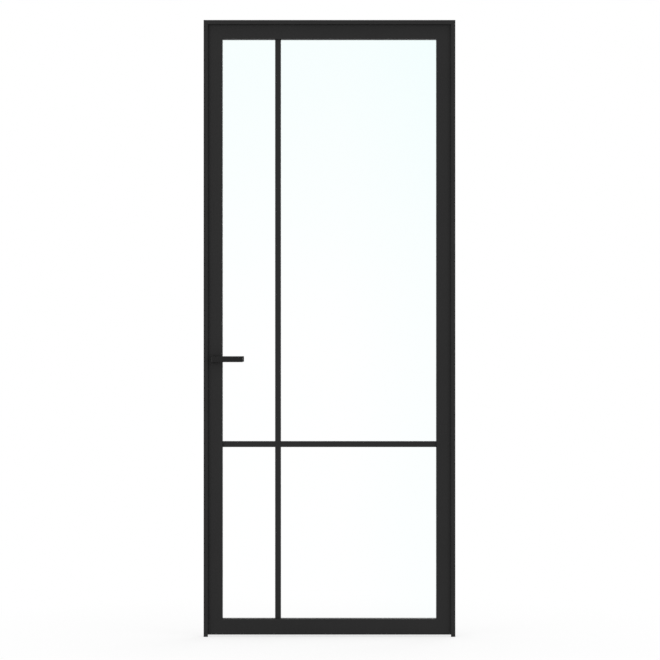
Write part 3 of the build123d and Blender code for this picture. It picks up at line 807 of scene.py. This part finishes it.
@dataclass
class SubAssembly:
    """Pieces that are dressed and built together.

    Attributes:
        effects: The shared shader groups.
    """

    effects: SharedEffects

    def dress(self, finish: Finish, *names: str) -> None:
        """Gives solids a finish.

        Args:
            finish: The finish.
            *names: The solids' names.
        """
        for name in names:
            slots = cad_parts[name].data.materials
            slots.clear()
            slots.append(finish.material(self.effects))
            LOG.info("%s wears %s", name, finish.name)

    def add_piece(
        self, bm: bmesh.types.BMesh, name: str, body: Body, finish: Finish, replaced: str
    ) -> bpy.types.Object:
        """Makes an object of a mesh that stands for a solid.

        Args:
            bm: The mesh, which is freed.
            name: The piece's name.
            body: The body that it rides on.
            finish: Its finish.
            replaced: The solid that it stands for.

        Returns:
            The piece.
        """
        for edge in bm.edges:
            edge.smooth = edge.is_manifold and edge.calc_face_angle() < SMOOTH_ANGLE
        for face in bm.faces:
            face.smooth = True
        mesh = bpy.data.meshes.new(name)
        bm.to_mesh(mesh)
        bm.free()
        mesh.materials.append(finish.material(self.effects))
        piece = bpy.data.objects.new(name, mesh)
        bpy.context.scene.collection.objects.link(piece)
        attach(piece, body.value)
        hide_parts(replaced)
        LOG.info("%s built with %d faces, stands for %s", name, len(mesh.polygons), replaced)
        return piece

    def build(self) -> None:
        """Builds and dresses the sub-assembly."""
        raise NotImplementedError


@dataclass
class OuterFrame(SubAssembly):
    """The slim frame with its stop, seals and strike plate.

    Attributes:
        strike_screw: The screws that hold the strike plate.
        strike_inset: From the plate's end to a screw.
    """

    strike_screw: Screw = Screw(
        head=0.0036, shank=0.0020, length=0.0070, drive=Drive.STAR, recess=0.0019, depth=0.0016
    )
    strike_inset: float = 0.012

    def build(self) -> None:
        """Dresses the profiles and seals and builds the strike's screws."""
        self.dress(MATT_COAT, "lock_jamb", "hinge_jamb", "frame_head")
        self.dress(SEAL_RUBBER, "stop_seal_lock_side", "stop_seal_hinge_side", "stop_seal_head")
        self.dress(MILL_METAL, "frame_corner_keys")
        self.dress(SATIN_COAT, "strike_plate")
        low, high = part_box("strike_plate")
        heights = (low.z + self.strike_inset, high.z - self.strike_inset)
        places = [(Vector((high.x, 0.0, height)), Way.RIGHT) for height in heights]
        bm = self.strike_screw.set_at(places)
        self.add_piece(bm, "strike_plate_screws", Body.FRAME, SATIN_COAT, "strike_screws")


@dataclass
class HingeSet(SubAssembly):
    """The three butt hinges and their screws.

    Attributes:
        leaf_screw: The screws into the leaf.
        frame_screw: The screws into the frame.
        edge_gap: The gap between leaf and frame.
        screw_shares: Where the screws sit across and along a plate.
    """

    leaf_screw: Screw = Screw(
        head=0.0047, shank=0.0025, length=0.012, drive=Drive.STAR, recess=0.0024, depth=0.0021
    )
    frame_screw: Screw = Screw(
        head=0.0047, shank=0.0025, length=0.007, drive=Drive.STAR, recess=0.0024, depth=0.0021
    )
    edge_gap: float = 0.003
    screw_shares: tuple[tuple[float, float], ...] = ((0.3, 0.12), (0.7, 0.37), (0.3, 0.63), (0.7, 0.88))

    def build(self) -> None:
        """Dresses the plates, pins and washers and builds both sets of screws."""
        self.dress(WASHER_NYLON, "hinge_washers")
        for level in HINGE_LEVELS:
            hinge = f"{level}_hinge"
            self.dress(SATIN_COAT, f"{hinge}_frame_plate", f"{hinge}_leaf_plate", f"{hinge}_pin")
        leaf_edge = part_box("hinge_stile")[1].x
        bm = self._screws(self.leaf_screw, leaf_edge, Way.RIGHT)
        self.add_piece(bm, "leaf_side_hinge_screws", Body.LEAF, SATIN_COAT, "leaf_hinge_screws")
        bm = self._screws(self.frame_screw, leaf_edge + self.edge_gap, Way.LEFT)
        self.add_piece(bm, "frame_side_hinge_screws", Body.FRAME, SATIN_COAT, "frame_hinge_screws")

    def _screws(self, screw: Screw, edge: float, way: Way) -> bmesh.types.BMesh:
        """Builds the screws of one side of all three hinges.

        Args:
            screw: The screw.
            edge: The plates' face along X.
            way: The way that the heads look.

        Returns:
            The screws in one mesh.
        """
        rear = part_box("hinge_stile")[1].y
        places = []
        for level in HINGE_LEVELS:
            low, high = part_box(f"{level}_hinge_leaf_plate")
            for across, along in self.screw_shares:
                depth = low.y + (rear - low.y) * across
                height = low.z + (high.z - low.z) * along
                places.append((Vector((edge, depth, height)), way))
        return screw.set_at(places)


@dataclass
class GlazedLeaf(SubAssembly):
    """The leaf's profiles with the pane, its gaskets and blocks."""

    def build(self) -> None:
        """Dresses the leaf; the pane lets the lamps and the light off other pieces through."""
        self.dress(MATT_COAT, "lock_stile", "hinge_stile", "top_rail", "bottom_rail")
        cleats = [f"corner_cleat_{side}_{end}" for side in ("lock", "hinge") for end in ("bottom", "top")]
        self.dress(MILL_METAL, *cleats)
        self.dress(PANE_GLASS, "glass_pane")
        self.dress(SEAL_RUBBER, "gasket_lock_side", "gasket_hinge_side", "gasket_top", "gasket_bottom")
        self.dress(BLOCK_PLASTIC, "setting_blocks")
        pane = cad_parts["glass_pane"]
        pane.visible_shadow = False
        pane.visible_diffuse = False
        pane.visible_glossy = False


@dataclass
class GlazingBars(SubAssembly):
    """The bars on both faces of the pane and the tape that holds them."""

    def build(self) -> None:
        """Dresses the bars and their tape."""
        for face in ("front", "rear"):
            self.dress(MATT_COAT, f"{face}_vertical_bar", f"{face}_left_bar", f"{face}_right_bar")
            self.dress(BAR_TAPE, f"{face}_bar_tapes")


@dataclass
class LatchLock(SubAssembly):
    """The lock in the stile: case, forend, spring and latch.

    Attributes:
        forend_screw: The screws that hold the forend.
        forend_inset: From the forend's end to a screw.
        cover_screw: The screws that hold the case's cover.
        cover_inset: From the cover's edges to a screw.
        spring_strip: The thickness of the latch spring.
        spring_knee_share: Where the spring bends, from its foot up.
        spring_bulge: How far the bend stands back from a straight line.
        spring_round: The bend's reach along the strip.
        spring_steps: Faces round the bend.
        latch_travel: How far the latch pushes the spring's foot in; not used.
    """

    forend_screw: Screw = Screw(
        head=0.0037, shank=0.0020, length=0.009, drive=Drive.STAR, recess=0.0019, depth=0.0016
    )
    forend_inset: float = 0.009
    cover_screw: Screw = Screw(
        head=0.0024, shank=0.0014, length=0.008, drive=Drive.STAR, recess=0.0013, depth=0.0010
    )
    cover_inset: float = 0.006
    spring_strip: float = 0.0006
    spring_knee_share: float = 0.45
    spring_bulge: float = 0.003
    spring_round: float = 0.004
    spring_steps: int = 6
    latch_travel: float = 0.0101

    def build(self) -> None:
        """Dresses the lock and builds its screws and spring."""
        self.dress(ZINC_PLATE, "lock_case", "lock_case_cover", "latch_bolt")
        self.dress(SATIN_COAT, "lock_forend")
        self._forend_screws()
        self._cover_screws()
        self._spring()

    def _forend_screws(self) -> None:
        """Builds the two screws at the forend's ends."""
        low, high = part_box("lock_forend")
        heights = (low.z + self.forend_inset, high.z - self.forend_inset)
        places = [(Vector((low.x, 0.0, height)), Way.LEFT) for height in heights]
        bm = self.forend_screw.set_at(places)
        self.add_piece(bm, "forend_plate_screws", Body.LEAF, SATIN_COAT, "forend_screws")

    def _cover_screws(self) -> None:
        """Builds the three screws in the cover's corners."""
        low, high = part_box("lock_case_cover")
        left, right = low.x + self.cover_inset, high.x - self.cover_inset
        bottom, top = low.z + self.cover_inset, high.z - self.cover_inset
        corners = ((left, bottom), (right, bottom), (left, top))
        bm = self.cover_screw.set_at([(Vector((x, high.y, z)), Way.REAR) for x, z in corners])
        self.add_piece(bm, "cover_plate_screws", Body.LEAF, ZINC_PLATE, "case_cover_screws")

    def _spring(self) -> None:
        """Builds the bent leaf spring."""
        low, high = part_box("latch_spring")
        foot = Vector((low.x, low.y, low.z))
        top = Vector((high.x - self.spring_strip, low.y, high.z))
        knee = foot.lerp(top, self.spring_knee_share) + Vector((self.spring_bulge, 0.0, 0.0))
        bm = bmesh.new()
        points = [bm.verts.new(place) for place in (foot, knee, top)]
        line = [bm.edges.new(ends) for ends in zip(points, points[1:])]
        made = bmesh.ops.extrude_edge_only(bm, edges=line)["geom"]
        far = [item for item in made if isinstance(item, bmesh.types.BMVert)]
        bmesh.ops.translate(bm, vec=(0.0, high.y - low.y, 0.0), verts=far)
        bend = [edge for edge in bm.edges if len(edge.link_faces) == 2]
        bmesh.ops.bevel(
            bm,
            geom=bend,
            offset=self.spring_round,
            affect="EDGES",
            segments=self.spring_steps,
            profile=0.5,
            material=-1,
        )
        bmesh.ops.recalc_face_normals(bm, faces=bm.faces[:])
        bmesh.ops.solidify(bm, geom=bm.faces[:], thickness=self.spring_strip)
        bmesh.ops.recalc_face_normals(bm, faces=bm.faces[:])
        across = [vert.co.x for vert in bm.verts]
        shift = (low.x + high.x - min(across) - max(across)) / 2
        bmesh.ops.translate(bm, vec=(shift, 0.0, 0.0), verts=bm.verts[:])
        spring = self.add_piece(bm, "bent_latch_spring", Body.LEAF, ZINC_PLATE, "latch_spring")
        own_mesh(spring)


@dataclass
class LeverPair(SubAssembly):
    """The two levers on their roses, with the spindle between them.

    Attributes:
        grub: The socket screws that clamp the levers on the spindle.
        rose_screw: The screws that hold the roses.
    """

    grub: Screw = Screw(
        head=0.0025, shank=0.0025, length=0.0062, drive=Drive.HEX, recess=0.00145, depth=0.0024
    )
    rose_screw: Screw = Screw(
        head=0.0026, shank=0.0014, length=0.007, drive=Drive.STAR, recess=0.0014, depth=0.0010
    )

    def build(self) -> None:
        """Dresses levers and roses and builds their screws."""
        self.dress(HANDLED_COAT, "front_lever", "rear_lever")
        self.dress(SATIN_COAT, "front_rose_cover", "rear_rose_cover")
        self.dress(ZINC_PLATE, "front_rose_base", "rear_rose_base", "spindle", "follower")
        self._grub_screws()
        self._rose_screws()

    def _grub_screws(self) -> None:
        """Builds the socket screw under each lever's neck."""
        low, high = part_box("lever_grub_screws")
        middle = (low.x + high.x) / 2
        depths = (low.y + self.grub.head, high.y - self.grub.head)
        bm = self.grub.set_at([(Vector((middle, depth, low.z)), Way.DOWN) for depth in depths])
        self.add_piece(bm, "socket_grub_screws", Body.LEVERS, ZINC_PLATE, "lever_grub_screws")

    def _rose_screws(self) -> None:
        """Builds the two screws in each rose."""
        low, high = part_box("rose_screws")
        inset = self.rose_screw.head
        corners = ((low.x + inset, low.z + inset), (high.x - inset, high.z - inset))
        faces = ((low.y, Way.FRONT), (high.y, Way.REAR))
        places = [(Vector((x, y, z)), way) for y, way in faces for x, z in corners]
        bm = self.rose_screw.set_at(places)
        self.add_piece(bm, "rose_plate_screws", Body.LEAF, ZINC_PLATE, "rose_screws")


@dataclass(frozen=True)
class SoftLamp:
    """A square softbox.

    Attributes:
        name: The lamp's name.
        place: Where it stands.
        size: Its side.
        power: Its power in watts.
    """

    name: str
    place: Place
    size: float
    power: float

    def build(self, target: Vector, unlit: bpy.types.Collection) -> None:
        """Adds the lamp, turned to a target.

        Args:
            target: The point that it lights.
            unlit: The pieces that don't mirror it.
        """
        light = bpy.data.lights.new(self.name, "AREA")
        light.shape = "SQUARE"
        light.size = self.size
        light.energy = self.power
        lamp = bpy.data.objects.new(self.name, light)
        lamp.location = self.place
        lamp.rotation_euler = (target - Vector(self.place)).to_track_quat("-Z", "Y").to_euler()
        lamp.visible_camera = False
        lamp.visible_transmission = False
        lamp.light_linking.receiver_collection = unlit
        bpy.context.scene.collection.objects.link(lamp)


@dataclass
class Studio:
    """A white sweep with soft light and the camera in front of the door.

    Attributes:
        lamps: The softboxes.
        ambient: The world's light on the object.
        floor_side: The floor's side.
        floor_colour: The floor's linear colour.
        floor_glow: The share of plain white in the floor as seen near the door.
        floor_fade: The distances between which the floor goes over to plain white.
        camera_place: Where the camera stands.
        span: The width that the picture shows at the leaf's front.
        sensor: The camera's sensor width in millimetres.
    """

    lamps: tuple[SoftLamp, ...] = (
        SoftLamp(name="key_softbox", place=(-4.2, -5.8, 1.8), size=3.4, power=110.0),
        SoftLamp(name="fill_softbox", place=(5.0, -5.0, 1.8), size=3.4, power=60.0),
        SoftLamp(name="rear_softbox", place=(2.6, 5.6, 3.0), size=4.4, power=180.0),
        SoftLamp(name="top_softbox", place=(0.0, -0.2, 6.0), size=3.4, power=110.0),
    )
    ambient: float = 0.6
    floor_side: float = 40.0
    floor_colour: Colour = (0.86, 0.86, 0.86)
    floor_glow: float = 0.7
    floor_fade: tuple[float, float] = (0.3, 1.6)
    camera_place: Place = (0.002, -10.0, 1.1606)
    span: float = 2.499
    sensor: float = 36.0

    def build(self) -> None:
        """Builds floor, world, lamps and camera."""
        low, high = CAD_BOX
        self._floor()
        self._world()
        unlit = self._unlit()
        for lamp in self.lamps:
            lamp.build((low + high) / 2, unlit)
        self._camera()
        bpy.context.scene.view_settings.view_transform = "Standard"

    @staticmethod
    def _unlit() -> bpy.types.Collection:
        """Sets the pane apart, so that no lamp's hard edge shows as a line across the glass.

        Returns:
            The pieces that mirror the white studio alone.
        """
        unlit = bpy.data.collections.new("mirrors_no_lamp")
        unlit.objects.link(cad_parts["glass_pane"])
        for member in unlit.collection_objects:
            member.light_linking.link_state = "EXCLUDE"
        return unlit

    @staticmethod
    def _seen(sheet: NodeSheet) -> Socket:
        """Tells rays that see the studio from rays that light it.

        Args:
            sheet: The node tree.

        Returns:
            1 for rays from the camera, off gloss and through glass, else 0.
        """
        path = sheet.add("ShaderNodeLightPath").outputs
        mirrored = sheet.math("MAXIMUM", path["Is Camera Ray"], path["Is Glossy Ray"])
        return sheet.math("MAXIMUM", mirrored, path["Is Transmission Ray"])

    def _floor(self) -> None:
        """Lays the pale floor, which is seen as white and keeps the shadow."""
        bm = bmesh.new()
        bmesh.ops.create_grid(bm, x_segments=1, y_segments=1, size=self.floor_side / 2)
        mesh = bpy.data.meshes.new("studio_floor")
        bm.to_mesh(mesh)
        bm.free()
        paint = bpy.data.materials.new("pale_floor")
        paint.use_nodes = True
        sheet = NodeSheet(paint.node_tree)
        spot = sheet.add("ShaderNodeTexCoord").outputs["Object"]
        away = sheet.add("ShaderNodeVectorMath", {0: spot}, operation="LENGTH").outputs["Value"]
        share = sheet.span(away, self.floor_fade, (self.floor_glow, 1.0))
        glow = sheet.math("MULTIPLY", self._seen(sheet), share)
        lit = sheet.add("ShaderNodeBsdfDiffuse", {"Color": rgba(self.floor_colour)}).outputs[0]
        plain = sheet.add("ShaderNodeEmission", {"Color": WHITE, "Strength": 1.0}).outputs[0]
        mixed = sheet.add("ShaderNodeMixShader", {0: glow, 1: lit, 2: plain}).outputs[0]
        sheet.tree.links.new(mixed, sheet.tree.nodes["Material Output"].inputs["Surface"])
        mesh.materials.append(paint)
        floor = bpy.data.objects.new("studio_floor", mesh)
        bpy.context.scene.collection.objects.link(floor)

    def _world(self) -> None:
        """Makes the world white where it is seen and dimmer as a light."""
        world = bpy.data.worlds.new("studio_white")
        world.use_nodes = True
        sheet = NodeSheet(world.node_tree)
        light = sheet.math("SUBTRACT", 1.0, self.ambient)
        strength = sheet.math("ADD", sheet.math("MULTIPLY", self._seen(sheet), light), self.ambient)
        sky = sheet.tree.nodes["Background"]
        sky.inputs["Color"].default_value = WHITE
        sheet.tree.links.new(strength, sky.inputs["Strength"])
        bpy.context.scene.world = world

    def _camera(self) -> None:
        """Stands the camera square in front of the leaf."""
        lens = bpy.data.cameras.new("photo_camera")
        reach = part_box("lock_stile")[0].y - self.camera_place[1]
        lens.sensor_width = self.sensor
        lens.lens = self.sensor * reach / self.span
        camera = bpy.data.objects.new("photo_camera", lens)
        camera.location = self.camera_place
        camera.rotation_euler = (math.radians(90.0), 0.0, 0.0)
        bpy.context.scene.collection.objects.link(camera)
        bpy.context.scene.camera = camera


def main() -> None:
    """Builds the studio and each sub-assembly in order."""
    logging.basicConfig(level=logging.INFO, format="%(name)s: %(message)s")
    effects = SharedEffects()
    Studio().build()
    for kind in (OuterFrame, HingeSet, GlazedLeaf, GlazingBars, LatchLock, LeverPair):
        kind(effects).build()
        LOG.info("%s done", kind.__name__)


if __name__ == "__main__":
    main()
